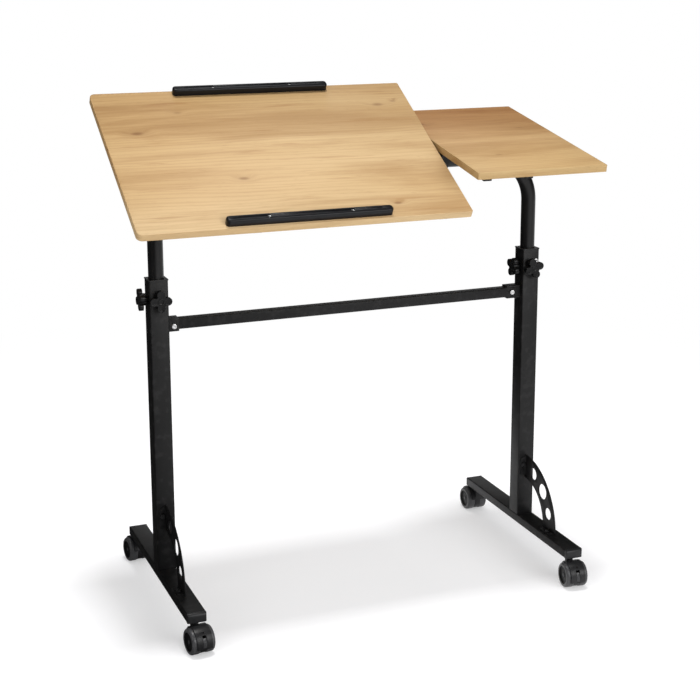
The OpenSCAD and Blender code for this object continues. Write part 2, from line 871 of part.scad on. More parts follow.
module castor_hood(braked)
    difference() {
        union() {
            at_wheel_axis() {
                along_x(web_w) {
                    hood_sector(hood_r);
                    circle(web_disc_r);
                }
                along_x(hood_w) difference() {
                    hood_sector(hood_r);
                    circle(hood_in_r);
                }
            }
            translate([0, 0, -neck_end]) cylinder(r = neck_out_r, h = neck_end - stem_collar_t - face_gap);
            translate([-web_w / 2, -neck_out_r, -stem_sink - neck_foot])
                cube([web_w, neck_out_r + trail / 2, stem_sink + neck_foot - neck_end + cut]);
        }
        translate([0, 0, -stem_sink - face_gap]) cylinder(r = stem_r + run_gap, h = stem_sink + cut);
        at_wheel_axis() rod_x(axle_r + run_gap, web_w + 2 * cut);
        if (braked) at_wheel_axis() {
            along_x(brake_slot_w) intersection() {
                difference() {
                    circle(hood_r + cut);
                    circle(brake_pivot_r - brake_boss_r - brake_room);
                }
                rotate(brake_turn) wedge(-brake_slot_span, brake_slot_span);
            }
            rotate([brake_turn, 0, 0]) translate([0, brake_pivot_r, 0])
                rod_x(brake_peg_r + run_gap, web_w + 2 * cut);
            rotate([hood_hole_turn, 0, 0]) translate([0, hood_r - hood_hole_l, 0])
                rod_y(hood_hole_r, hood_hole_l + cut);
        }
    }

// A flat wedge between two angles that reaches past the hood
module wedge(low, high)
    polygon([[0, 0], 2 * hood_r * [cos(low), sin(low)], 2 * hood_r * [cos(high), sin(high)]]);

// A brake tab between the hood's cheeks: round boss with side pegs and a curved thumb plate
// whose upper part is lower, so that the thumb catches its lip
module castor_brake()
    at_wheel_axis() rotate([brake_turn, 0, 0]) {
        translate([0, brake_pivot_r, 0]) rod_x(brake_peg_r, web_w - face_gap);
        along_x(brake_w) {
            translate([brake_pivot_r, 0]) circle(brake_boss_r);
            translate([brake_pivot_r, -brake_boss_r / 2]) square([hood_in_r - brake_pivot_r, brake_boss_r]);
            difference() {
                union() {
                    intersection() {
                        circle(hood_r);
                        wedge(-brake_span, brake_lip_turn);
                    }
                    intersection() {
                        circle(hood_r - brake_lip);
                        wedge(-brake_lip_turn, brake_span);
                    }
                }
                circle(hood_in_r - cut);
            }
        }
    }

// Cross section [radius, x] of one wheel: rounded outer shoulder and a sunk hub disc
module wheel_section()
    difference() {
        union() {
            square([wheel_r - wheel_edge, wheel_w]);
            square([wheel_r, wheel_w - wheel_edge]);
            translate([wheel_r - wheel_edge, wheel_w - wheel_edge]) circle(wheel_edge);
        }
        translate([-cut, -cut]) square([axle_r + cut, wheel_w + 2 * cut]);
        translate([0, wheel_w - hub_cap_sink]) square([hub_cap_r, hub_cap_sink + cut]);
    }

module castor_wheels()
    at_wheel_axis()
        for (s = [0, 1])
            mirror([s, 0, 0])
                translate([web_w / 2 + wheel_side_gap, 0, 0])
                    rotate([0, 90, 0]) rotate_extrude() wheel_section();

module castor_axle()
    at_wheel_axis() rod_x(axle_r, castor_w - 2 * hub_cap_sink - 2 * axle_sink);

module front_left_castor_hood() color(plastic) at_castor(left_x, true, left_swivel) castor_hood(true);
module front_left_castor_wheels() color(tread) at_castor(left_x, true, left_swivel) castor_wheels();
module front_left_castor_axle() color(zinc) at_castor(left_x, true, left_swivel) castor_axle();
module front_left_castor_brake() color(plastic) at_castor(left_x, true, left_swivel) castor_brake();
module front_right_castor_hood() color(plastic) at_castor(right_x, true, -right_swivel) castor_hood(true);
module front_right_castor_wheels() color(tread) at_castor(right_x, true, -right_swivel) castor_wheels();
module front_right_castor_axle() color(zinc) at_castor(right_x, true, -right_swivel) castor_axle();
module front_right_castor_brake() color(plastic) at_castor(right_x, true, -right_swivel) castor_brake();
module rear_left_castor_hood() color(plastic) at_castor(left_x, false, left_swivel) castor_hood(false);
module rear_left_castor_wheels() color(tread) at_castor(left_x, false, left_swivel) castor_wheels();
module rear_left_castor_axle() color(zinc) at_castor(left_x, false, left_swivel) castor_axle();
module rear_right_castor_hood() color(plastic) at_castor(right_x, false) castor_hood(false);
module rear_right_castor_wheels() color(tread) at_castor(right_x, false) castor_wheels();
module rear_right_castor_axle() color(zinc) at_castor(right_x, false) castor_axle();

left_foot();
right_foot();
foot_end_caps();
left_column();
right_column();
column_bushes();
knob_nuts();
left_gusset();
right_gusset();
crossbar();
left_crossbar_bracket();
right_crossbar_bracket();
crossbar_bolts();
gusset_bolts();
foot_bolts();
lift_stop_screw();
castor_stems();
lift_tube();
lift_tube_glides();
main_board();
main_edge_band();
front_stop_rail();
rear_stop_rail();
rail_screws();
main_left_support();
main_right_support();
main_support_screws();
side_board();
side_edge_band();
side_left_support();
side_right_support();
side_support_screws();
main_lock_knob();
main_lock_stud();
side_lock_knob();
side_lock_stud();
left_front_knob();
left_front_stud();
left_side_knob();
left_side_stud();
right_front_knob();
right_front_stud();
right_side_knob();
right_side_stud();
front_left_castor_hood();
front_left_castor_wheels();
front_left_castor_axle();
front_left_castor_brake();
front_right_castor_hood();
front_right_castor_wheels();
front_right_castor_axle();
front_right_castor_brake();
rear_left_castor_hood();
rear_left_castor_wheels();
rear_left_castor_axle();
rear_right_castor_hood();
rear_right_castor_wheels();
rear_right_castor_axle();
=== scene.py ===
import json
import math
import bmesh
import bpy
from mathutils import Matrix, Vector


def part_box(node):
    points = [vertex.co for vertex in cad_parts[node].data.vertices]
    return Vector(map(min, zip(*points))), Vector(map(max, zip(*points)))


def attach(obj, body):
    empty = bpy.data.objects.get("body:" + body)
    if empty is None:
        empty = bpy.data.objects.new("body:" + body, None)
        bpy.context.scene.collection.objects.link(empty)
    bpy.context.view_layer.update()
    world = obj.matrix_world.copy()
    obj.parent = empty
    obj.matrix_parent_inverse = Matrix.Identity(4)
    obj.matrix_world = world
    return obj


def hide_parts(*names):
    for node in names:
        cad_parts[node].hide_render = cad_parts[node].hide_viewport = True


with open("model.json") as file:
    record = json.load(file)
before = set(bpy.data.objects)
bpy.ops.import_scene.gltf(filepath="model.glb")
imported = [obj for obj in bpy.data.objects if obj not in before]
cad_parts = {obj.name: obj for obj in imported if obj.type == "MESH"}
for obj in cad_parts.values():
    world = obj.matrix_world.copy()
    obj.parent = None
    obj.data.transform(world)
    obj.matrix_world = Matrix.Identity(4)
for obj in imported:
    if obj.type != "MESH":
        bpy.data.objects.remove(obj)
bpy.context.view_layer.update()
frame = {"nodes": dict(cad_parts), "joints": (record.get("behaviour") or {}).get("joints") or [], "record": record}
mm = 0.001
joints = {joint["name"]: joint for joint in frame["joints"]}
slotOf = {part["node"]: part["material_slot"] for part in frame["record"]["subparts"]}
bodyOf = {node: body for body, nodes in frame["record"]["behaviour"]["bodies"].items() for node in nodes}
restTilt = {"main": 30, "side": 10}
print("frame loaded:", len(bodyOf), "nodes")


# ---- shader maths ----

class Wire:
    # a shader socket that takes part in plain arithmetic
    def __init__(self, finish, socket):
        self.finish, self.socket = finish, socket

    def sum(self, operation, *values):
        return self.finish.add("ShaderNodeMath", {"operation": operation}, dict(enumerate(values)))

    def __add__(self, other): return self.sum("ADD", self, other)
    def __radd__(self, other): return self.sum("ADD", other, self)
    def __sub__(self, other): return self.sum("SUBTRACT", self, other)
    def __rsub__(self, other): return self.sum("SUBTRACT", other, self)
    def __mul__(self, other): return self.sum("MULTIPLY", self, other)
    def __rmul__(self, other): return self.sum("MULTIPLY", other, self)

    def capped(self):
        return self.sum("MINIMUM", self, 1.0)

    def ramp(self, low, high, steps="SMOOTHSTEP"):
        # 0 below low, 1 above high
        return self.finish.add("ShaderNodeMapRange", {"interpolation_type": steps},
                               {"Value": self, "From Min": low, "From Max": high})


class Finish:
    # one material, or the world, and the nodes that it is made of
    def __init__(self, name, holder=None):
        self.material = holder or bpy.data.materials.new(name)
        self.material.use_nodes = True
        self.tree = self.material.node_tree
        self.tree.nodes.clear()

    def add(self, kind, settings=None, sockets=None, out=0):
        node = self.tree.nodes.new(kind)
        for name, value in (settings or {}).items():
            if name == "stops":
                for i, (place, colour) in enumerate(value):
                    stop = node.color_ramp.elements[i] if i < 2 else node.color_ramp.elements.new(place)
                    stop.position, stop.color = place, (*colour, 1)
            else:
                setattr(node, name, value)
        for name, value in (sockets or {}).items():
            if isinstance(value, Wire):
                self.tree.links.new(value.socket, node.inputs[name])
            else:
                node.inputs[name].default_value = value
        return Wire(self, node.outputs[out]) if len(node.outputs) else node

    def place(self, scale=(1, 1, 1), turn=(0, 0, 0), shift=(0, 0, 0), vector=None):
        vector = vector or self.add("ShaderNodeTexCoord", out="Object")
        return self.add("ShaderNodeMapping", {}, {"Vector": vector, "Scale": scale, "Rotation": turn,
                                                  "Location": shift})

    def noise(self, vector, scale, detail=3.0, roughness=0.5, warp=0.0):
        return self.add("ShaderNodeTexNoise", {}, {"Vector": vector, "Scale": scale, "Detail": detail,
                                                   "Roughness": roughness, "Distortion": warp})

    def mix(self, share, first, second, blend="MIX"):
        return self.add("ShaderNodeMix", {"data_type": "RGBA", "blend_type": blend},
                        {0: share, 6: (*first, 1) if isinstance(first, tuple) else first,
                         7: (*second, 1) if isinstance(second, tuple) else second}, out=2)

    def rays(self):
        # 1 for what the camera sees directly, what it sees through clear surfaces and in shiny ones
        kinds = "Is Camera Ray", "Is Transmission Ray", "Is Glossy Ray"
        return [self.add("ShaderNodeLightPath", out=kind) for kind in kinds]

    def along(self, vector, direction):
        settings = {"operation": "DOT_PRODUCT"}
        return self.add("ShaderNodeVectorMath", settings, {0: vector, 1: direction}, out="Value")

    def bump(self, height, strength, distance):
        return self.add("ShaderNodeBump", {}, {"Height": height, "Strength": strength, "Distance": distance})

    def surface(self, **sockets):
        names = {"colour": "Base Color", "roughness": "Roughness", "metallic": "Metallic",
                 "normal": "Normal", "specular": "Specular IOR Level"}
        values = {}
        for key, value in sockets.items():
            values[names[key]] = (*value, 1) if isinstance(value, tuple) else value
        shader = self.add("ShaderNodeBsdfPrincipled", {}, values)
        self.add("ShaderNodeOutputMaterial", {}, {"Surface": shader})
        return self.material


# ---- finishes ----

oakDecor = {
    "pale": (0.615, 0.455, 0.262), "honey": (0.505, 0.345, 0.175), "brown": (0.345, 0.200, 0.084),
    # left is a painted shade colour, multiplied into the boards' left rear
    "left": (0.94, 0.88, 0.78), "flare": (0.33, 0.170, 0.065),
    "streakScale": (1.5, 15, 15), "bandScale": (0.7, 5.5, 5.5), "lineScale": (7, 240, 240),
    "poreScale": (40, 900, 900), "figureScale": (1.0, 30, 30), "flareScale": (3.4, 46, 46),
}


def oakFinish(name, tilt, shift, tone, knots, deep=(0.84, 0.79, 0.70)):
    # oak decor film with its grain along X, laid on a board that is tilted about X; its colour also holds painted
    # shade, darker towards the back and at the left rear
    finish = Finish(name)
    pivotZ = joints["main_tilt"]["pos_m"][2]
    flat = finish.place(shift=(0, 0, -pivotZ))
    flat = finish.place(turn=(-math.radians(tilt), 0, 0), vector=flat)
    drift = finish.noise(finish.place(scale=(1.3, 3.5, 3.5), shift=shift, vector=flat), 1.0, 2.0)
    bend = finish.add("ShaderNodeCombineXYZ", {}, {"Y": (drift - 0.5) * 0.05})
    grain = finish.add("ShaderNodeVectorMath", {"operation": "ADD"}, {0: flat, 1: bend})
    pull = 0.0
    shade = 0.0
    for x, y, size, depth in knots:
        wide = size * 2.2
        away = finish.place(scale=(1 / wide, 1 / size, 0), shift=(-x / wide, -y / size, 0), vector=flat)
        near = finish.add("ShaderNodeVectorMath", {"operation": "LENGTH"}, {0: away}, out="Value")
        halo = near.ramp(3.2, 0.4)
        core = near.ramp(1.15, 0.25)
        pull = halo * (0.012 * depth) + pull
        shade = core * (0.55 * depth) + halo * (0.10 * depth) + shade
    if knots:
        lift = finish.add("ShaderNodeCombineXYZ", {}, {"Y": pull})
        grain = finish.add("ShaderNodeVectorMath", {"operation": "ADD"}, {0: grain, 1: lift})

    def spread(key):
        return finish.place(scale=oakDecor[key], shift=shift, vector=grain)

    def layer(key, detail, roughness, warp=0.0):
        return finish.noise(spread(key), 1.0, detail, roughness, warp)

    band = layer("bandScale", 2.0, 0.5, 0.3).ramp(0.30, 0.72)
    streak = layer("streakScale", 4.0, 0.62, 0.4).ramp(0.42, 0.70)
    flare = layer("flareScale", 4.0, 0.66, 0.2).ramp(0.56, 0.74)
    lines = layer("lineScale", 3.0, 0.6)
    pores = layer("poreScale", 2.0, 0.5).ramp(0.62, 0.74)
    figure = finish.add("ShaderNodeTexWave", {"wave_type": "BANDS", "bands_direction": "Y"},
                        {"Vector": spread("figureScale"), "Scale": 1.0, "Distortion": 7.0, "Detail": 3.0,
                         "Detail Scale": 0.8, "Detail Roughness": 0.6})
    colour = finish.mix(band, oakDecor["pale"], oakDecor["honey"])
    colour = finish.mix(streak * 0.60, colour, oakDecor["brown"])
    colour = finish.mix(flare * 0.50, colour, oakDecor["flare"])
    colour = finish.mix(figure.ramp(0.55, 1.0) * 0.16, colour, oakDecor["brown"])
    colour = finish.mix(lines.ramp(0.48, 0.75) * 0.22, colour, oakDecor["brown"])
    colour = finish.mix(pores * 0.30, colour, (0.24, 0.13, 0.055))
    if knots:
        colour = finish.mix(shade, colour, (0.20, 0.095, 0.040))
    depth = finish.add("ShaderNodeSeparateXYZ", {}, {0: flat}, out=1)
    # partly painted shade: the colour turns darker and warmer towards the board's back, partly standing in for the
    # fall-off of lamp light, partly a drift in the decor's own tone
    colour = finish.mix(depth.ramp(-0.20, 0.27), colour, deep, "MULTIPLY")
    across = finish.add("ShaderNodeSeparateXYZ", {}, {0: flat})
    # painted shade: the left rear of the board is coloured darker and warmer, standing in for less light there
    leftRearPaintedShade = across.ramp(0.05, -0.45) * depth.ramp(-0.27, -0.08)
    colour = finish.mix(leftRearPaintedShade, colour, oakDecor["left"], "MULTIPLY")
    colour = finish.mix(1.0, colour, tone, "MULTIPLY")
    rough = 0.50 + lines * 0.06 + pores * 0.10
    skin = finish.bump(lines * 0.3 - pores * 0.8, 0.10, 0.0002)
    return finish.surface(colour=colour, roughness=rough, normal=skin, specular=0.22)


def powderFinish(name, gloss, specular):
    # black powder coat: fine orange peel, faint dust, a little paler where edges are rubbed
    finish = Finish(name)
    peel = finish.noise(finish.place(), 620.0, 2.0)
    grit = finish.noise(finish.place(), 2600.0, 2.0)
    haze = finish.noise(finish.place(), 9.0, 3.0)
    rub = finish.add("ShaderNodeNewGeometry", out="Pointiness").ramp(0.515, 0.60)
    patch = finish.noise(finish.place(), 60.0, 3.0).ramp(0.50, 0.68)
    colour = finish.mix(haze.ramp(0.35, 0.7), (0.0050, 0.0049, 0.0051), (0.0075, 0.0073, 0.0076))
    colour = finish.mix(rub * patch * 0.5, colour, (0.040, 0.039, 0.040))
    colour = finish.mix(grit.ramp(0.70, 0.80) * 0.25, colour, (0.036, 0.036, 0.037))
    rough = gloss + (haze - 0.5) * 0.10 + (grit - 0.5) * 0.08
    skin = finish.bump(peel * 0.6 + grit * 0.4, 0.22, 0.00025)
    return finish.surface(colour=colour, roughness=rough, normal=skin, specular=specular)


def plasticFinish(name, dark, pale, rough, grain, specular):
    # moulded plastic with a fine spark-eroded grain and faint flow marks
    finish = Finish(name)
    spark = finish.noise(finish.place(), grain, 3.0, 0.6)
    flow = finish.noise(finish.place(scale=(22, 22, 22)), 1.0, 3.0, 0.6, 0.5)
    scuff = finish.noise(finish.place(scale=(90, 900, 500)), 1.0, 2.0).ramp(0.66, 0.78)
    colour = finish.mix(flow.ramp(0.35, 0.7), dark, pale)
    colour = finish.mix(scuff * 0.18, colour, tuple(min(1, 3 * part) for part in pale))
    roughness = rough + (flow - 0.5) * 0.10 + scuff * 0.08
    skin = finish.bump(spark, 0.18, 0.0002)
    return finish.surface(colour=colour, roughness=roughness, normal=skin, specular=specular)


def zincFinish():
    # bright zinc plate: cloudy, with fine turning marks
    finish = Finish("brightZinc")
    cloud = finish.noise(finish.place(), 140.0, 4.0, 0.6)
    marks = finish.noise(finish.place(scale=(300, 300, 4000)), 1.0, 2.0)
    colour = finish.mix(cloud.ramp(0.3, 0.7), (0.50, 0.50, 0.51), (0.68, 0.68, 0.67))
    specks = finish.noise(finish.place(), 420.0, 2.0).ramp(0.60, 0.75)
    colour = finish.mix(specks * 0.35, colour, (0.34, 0.33, 0.31))
    rough = 0.26 + cloud * 0.14 + marks * 0.06
    skin = finish.bump(marks * 0.5 + cloud * 0.5, 0.15, 0.0001)
    return finish.surface(colour=colour, roughness=rough, metallic=1.0, normal=skin)


mainKnots = [(-0.430, 0.085, 0.007, 1.0), (-0.250, -0.078, 0.006, 0.9), (0.120, 0.150, 0.007, 0.8),
             (0.160, 0.160, 0.004, 0.7), (0.045, -0.185, 0.005, 1.0), (-0.330, 0.150, 0.005, 0.5)]
sideKnots = [(0.222, 0.120, 0.008, 1.0), (0.300, -0.120, 0.005, 0.6), (0.440, 0.060, 0.005, 0.5)]
finishes = {
    "main_board": oakFinish("oakDecorMain", restTilt["main"], (0, 0, 0), (1.03, 1.02, 1.0), mainKnots),
    # the side board's back is coloured darker and warmer still: partly painted shade, partly the decor's own tone
    "side_board": oakFinish("oakDecorSide", restTilt["side"], (3.1, 1.7, 0.4), (0.96, 0.93, 0.84),
                            sideKnots, (0.73, 0.52, 0.36)),
    "main_edge_band": oakFinish("oakBandMain", restTilt["main"], (5.2, 0.3, 0.9), (1.00, 0.99, 0.96), []),
    "side_edge_band": oakFinish("oakBandSide", restTilt["side"], (8.4, 2.3, 0.2), (0.90, 0.86, 0.73), []),
    "powder_coated_steel": powderFinish("blackPowderCoat", 0.46, 0.24),
    "lift_tube": powderFinish("liftTubeCoat", 0.30, 0.30),
    "rails": plasticFinish("railPlastic", (0.0062, 0.0063, 0.0074), (0.0088, 0.0090, 0.0104),
                           0.30, 1500.0, 0.20),
    "black_plastic": plasticFinish("blackPlastic", (0.0105, 0.0105, 0.0115), (0.0150, 0.0150, 0.0160),
                                   0.38, 1500.0, 0.30),
    "wheel_plastic": plasticFinish("wheelPlastic", (0.044, 0.044, 0.047), (0.062, 0.062, 0.065),
                                   0.33, 1100.0, 0.40),
    "zinc_plated_steel": zincFinish(),
    "knobs": plasticFinish("knobPlastic", (0.0042, 0.0042, 0.0045), (0.0070, 0.0070, 0.0075),
                           0.27, 900.0, 0.20),
    # the recessed wheel discs are much darker than the tread: partly the hub's own black, partly painted shade of
    # the 3 mm recess
    "wheelDiscs": plasticFinish("wheelDiscPlastic", (0.0065, 0.0065, 0.0070), (0.0100, 0.0100, 0.0105),
                                0.42, 1300.0, 0.25),
    "brakes": plasticFinish("brakePlastic", (0.026, 0.026, 0.028), (0.038, 0.038, 0.040),
                            0.34, 1300.0, 0.40),
    "blackened_steel": plasticFinish("blackOxide", (0.010, 0.010, 0.0105), (0.016, 0.016, 0.0165),
                                     0.36, 900.0, 0.40),
}


def finishOf(node):
    return finishes.get(node) or finishes[slotOf[node]]


print("finishes made:", len(finishes))


# ---- mesh helpers ----

def startBox(low, high):
    bm = bmesh.new()
    bmesh.ops.create_cube(bm, size=1)
    bmesh.ops.scale(bm, vec=Vector(high) - Vector(low), verts=bm.verts)
    bmesh.ops.translate(bm, vec=(Vector(high) + Vector(low)) / 2, verts=bm.verts)
    return bm


def edgesAlong(bm, axis):
    return [e for e in bm.edges if abs((e.verts[0].co - e.verts[1].co).normalized()[axis]) > 0.999]


def sharpEdges(bm, least=35):
    return [e for e in bm.edges if len(e.link_faces) == 2 and e.calc_face_angle(0) > math.radians(least)]


def roundEdges(bm, edges, width, steps):
    bmesh.ops.bevel(bm, geom=list(edges), offset=width, offset_type="OFFSET", affect="EDGES", segments=steps,
                    profile=0.5, material=-1, clamp_overlap=True)


def facesTowards(bm, direction):
    return [f for f in bm.faces if f.normal.dot(Vector(direction)) > 0.999]


def vertsOf(grown):
    return [part for part in grown if isinstance(part, bmesh.types.BMVert)]


def facesOf(grown):
    return [part for part in grown if isinstance(part, bmesh.types.BMFace)]


def closeShape(bm):
    bmesh.ops.remove_doubles(bm, verts=bm.verts, dist=1e-6)
    bmesh.ops.recalc_face_normals(bm, faces=bm.faces)


def addMesh(target, other, place=None):
    # adds the shape other to target
    mesh = bpy.data.meshes.new("part")
    if place:
        bmesh.ops.transform(other, matrix=place, verts=other.verts)
    other.to_mesh(mesh)
    other.free()
    target.from_mesh(mesh)
    bpy.data.meshes.remove(mesh)


def addPiece(name, bm, nodes, finish=None, place=None, crease=35, second=None):
    # turns a shape into a piece that stands for CAD nodes and rides on their body
    if place:
        bmesh.ops.transform(bm, matrix=place, verts=bm.verts)
    bm.normal_update()
    for edge in bm.edges:
        edge.smooth = not (len(edge.link_faces) == 2 and edge.calc_face_angle(0) > math.radians(crease))
    for face in bm.faces:
        face.smooth = True
    mesh = bpy.data.meshes.new(name)
    bm.to_mesh(mesh)
    bm.free()
    piece = bpy.data.objects.new(name, mesh)
    bpy.context.scene.collection.objects.link(piece)
    piece.data.materials.append(finish or finishOf(nodes[0]))
    if second:
        piece.data.materials.append(second)
    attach(piece, bodyOf[nodes[0]])
    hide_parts(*nodes)
    return piece


def softCopy(node, width, steps=2, finish=None):
    # a copy of a CAD node with its flat faces merged and its edges rounded
    bm = bmesh.new()
    bm.from_mesh(frame["nodes"][node].data)
    bmesh.ops.remove_doubles(bm, verts=bm.verts, dist=2e-6)
    bmesh.ops.dissolve_limit(bm, angle_limit=math.radians(0.6), verts=bm.verts, edges=bm.edges)
    roundEdges(bm, sharpEdges(bm), width * mm, steps)
    return addPiece(node + "_soft", bm, [node], finish)


# ---- camera, light and floor ----

view = {
    "place": (-1.12117, -2.87192, 1.36779), "yaw": 21.542, "pitch": 12.696, "roll": -0.1135,
    "lens": 75.69, "shiftY": -0.1,
}


def makeCamera():
    yaw, pitch, roll = (math.radians(view[key]) for key in ("yaw", "pitch", "roll"))
    ahead = Vector((math.sin(yaw) * math.cos(pitch), math.cos(yaw) * math.cos(pitch), -math.sin(pitch)))
    right = Vector((math.cos(yaw), -math.sin(yaw), 0))
    above = right.cross(ahead)
    side = right * math.cos(roll) + above * math.sin(roll)
    up = above * math.cos(roll) - right * math.sin(roll)
    data = bpy.data.cameras.new("camera")
    data.sensor_width, data.lens, data.shift_y = 36, view["lens"], view["shiftY"]
    data.clip_start, data.clip_end = 0.05, 60
    camera = bpy.data.objects.new("camera", data)
    turn = Matrix((side, up, -ahead)).transposed().to_4x4()
    camera.matrix_world = Matrix.Translation(view["place"]) @ turn
    bpy.context.scene.collection.objects.link(camera)
    bpy.context.scene.camera = camera


lamps = {
    "leftSoftbox": {"place": (-3.0, -1.8, 2.0), "aim": (0, 0, 0.7), "size": (1.4, 2.2), "power": 20},
    "frontSoftbox": {"place": (1.4, -3.8, 1.9), "aim": (0, 0, 0.5), "size": (2.6, 2.3), "power": 92},
    "topSoftbox": {"place": (0.0, -0.1, 7.0), "aim": (0, -0.1, 0), "size": (1.0, 1.0), "power": 268},
    "highBack": {"place": (0.4, 2.6, 3.3), "aim": (0, 0, 0.7), "size": (2.0, 1.4), "power": 11},
}


def makeLamps():
    for name, lamp in lamps.items():
        data = bpy.data.lights.new(name, "AREA")
        data.shape, data.energy = "RECTANGLE", lamp["power"]
        data.size, data.size_y = lamp["size"]
        light = bpy.data.objects.new(name, data)
        light.location = lamp["place"]
        towards = Vector(lamp["aim"]) - Vector(lamp["place"])
        light.rotation_euler = towards.to_track_quat("-Z", "Y").to_euler()
        bpy.context.scene.collection.objects.link(light)


room = {"ambient": 0.42, "mirrored": 0.03, "floor": 0.87, "near": 1.10, "dark": 0.97,
        "glow": 0.36, "white": 1.0, "reach": 9, "cone": (0.955, 0.975),
        "leftEdge": (-0.15, 0.30), "far": (0.7, 2.4)}


def makeWorld():
    # the white backdrop as the camera sees it, also for clear and shiny surfaces, in a dim studio
    world = bpy.data.worlds.new("studio")
    bpy.context.scene.world = world
    world.use_nodes = True
    sky = Finish("studio", world)
    camera, clear, shiny = sky.rays()
    yaw = math.radians(view["yaw"])
    direction = sky.add("ShaderNodeTexCoord", out="Generated")
    ahead = sky.along(direction, (math.sin(yaw), math.cos(yaw), -0.1))
    seen = (camera + clear + shiny * ahead.ramp(*room["cone"])).capped()
    plain = room["ambient"] - shiny * (room["ambient"] - room["mirrored"])
    strength = plain + seen * (1 - plain)
    back = sky.add("ShaderNodeBackground", {}, {"Color": (1, 1, 1, 1), "Strength": strength})
    sky.add("ShaderNodeOutputWorld", {}, {"Surface": back})


def makeFloor():
    # pale floor that glows white towards the far end; in reflections only, its left side is shown black, a painted
    # dark reflection that keeps the frame's left faces dark
    bm = bmesh.new()
    bmesh.ops.create_circle(bm, cap_ends=True, segments=96, radius=room["reach"])
    mesh = bpy.data.meshes.new("floor")
    bm.to_mesh(mesh)
    bm.free()
    floor = bpy.data.objects.new("floor", mesh)
    bpy.context.scene.collection.objects.link(floor)
    finish = Finish("paleFloor")
    camera, clear, shiny = finish.rays()
    yaw = math.radians(view["yaw"])
    left = finish.along(finish.place(), (-math.cos(yaw), math.sin(yaw), 0)).ramp(*room["leftEdge"])
    # painted dark reflection: shiny surfaces see the floor's left side as black
    dark = shiny * left * room["dark"]
    spot = finish.add("ShaderNodeVectorMath", {"operation": "LENGTH"}, {0: finish.place()}, out="Value")
    fade = room["glow"] + spot.ramp(*room["far"]) * (1 - room["glow"])
    seen = (camera + clear + shiny).capped()
    tone = finish.mix(seen, (room["floor"],) * 3, (room["near"], room["near"], room["near"] * 1.02))
    shade = finish.add("ShaderNodeBsdfDiffuse", {}, {"Color": tone})
    glow = finish.add("ShaderNodeEmission", {}, {"Color": (1, 1, 1, 1), "Strength": room["white"]})
    both = finish.add("ShaderNodeMixShader", {}, {0: seen * fade, 1: shade, 2: glow})
    black = finish.add("ShaderNodeBsdfDiffuse", {}, {"Color": (0, 0, 0, 1)})
    both = finish.add("ShaderNodeMixShader", {}, {0: dark, 1: both, 2: black})
    finish.add("ShaderNodeOutputMaterial", {}, {"Surface": both})
    floor.data.materials.append(finish.material)


makeCamera()
makeLamps()
makeWorld()
makeFloor()
bpy.context.scene.view_settings.view_transform = "Standard"
print("camera, lamps and floor placed")


# ---- boards ----

boardSizes = {
    "depth": 456, "thick": 15, "rise": 31, "band": 1,
    "main": {"x": -152, "width": 696, "corners": (12, 4), "tilt": restTilt["main"]},
    "side": {"x": 350, "width": 300, "corners": (3, 3), "tilt": restTilt["side"]},
}


def boardPlace(tilt):
    # from the level board at the tube's axis to its place at rest
    pivot = Vector((0, 0, joints["main_tilt"]["pos_m"][2]))
    return Matrix.Translation(pivot) @ Matrix.Rotation(math.radians(tilt), 4, "X")


def boardShape(board, shrink):
    half = (board["width"] / 2 - shrink) * mm, (boardSizes["depth"] / 2 - shrink) * mm
    low = (board["x"] * mm - half[0], -half[1], boardSizes["rise"] * mm)
    high = (board["x"] * mm + half[0], half[1], (boardSizes["rise"] + boardSizes["thick"]) * mm)
    bm = startBox(low, high)
    for left, corner in zip((True, False), board["corners"]):
        ends = [e for e in edgesAlong(bm, 2) if (e.verts[0].co.x < board["x"] * mm) == left]
        roundEdges(bm, ends, (corner - shrink) * mm, 8)
    return bm


def makeBoards():
    band = boardSizes["band"]
    for side in ("main", "side"):
        board = boardSizes[side]
        core = boardShape(board, band)
        roundEdges(core, sharpEdges(core, 60), 0.15 * mm, 1)
        addPiece(side + "_board_panel", core, [side + "_board"], place=boardPlace(board["tilt"]), crease=50)
        rim = boardShape(board, 0)
        flat = facesTowards(rim, (0, 0, 1)) + facesTowards(rim, (0, 0, -1))
        bmesh.ops.delete(rim, geom=flat, context="FACES")
        bmesh.ops.solidify(rim, geom=rim.faces, thickness=band * mm)
        closeShape(rim)
        outer = [e for e in sharpEdges(rim, 60) if outside(e, board)]
        roundEdges(rim, outer, 0.7 * mm, 3)
        addPiece(side + "_board_band", rim, [side + "_edge_band"], place=boardPlace(board["tilt"]), crease=50)


def outside(edge, board):
    # true for the rim edges of the band that face away from the board
    middle = (edge.verts[0].co + edge.verts[1].co) / 2
    reach = (board["width"] / 2 - 0.5) * mm, (boardSizes["depth"] / 2 - 0.5) * mm
    across = abs(middle.x - board["x"] * mm), abs(middle.y)
    if across[0] > reach[0] or across[1] > reach[1]:
        return True
    corner = board["corners"][int(middle.x > board["x"] * mm)] * mm
    centre = Vector((board["width"] / 2 * mm - corner, boardSizes["depth"] / 2 * mm - corner))
    arm = Vector(across) - centre
    return arm.x > 0 and arm.y > 0 and arm.length > corner - 0.5 * mm


railSizes = {"length": 346, "depth": 18, "height": 15, "x": -152, "end": 7, "top": 4, "grooveWidth": 4,
             "grooveDepth": 1.2, "grooveLength": 300, "screwX": 86.5, "screwR": 3.8, "screwSeat": 5,
             "grooveCorner": 1.8, "frontY": -213, "rearY": 218}


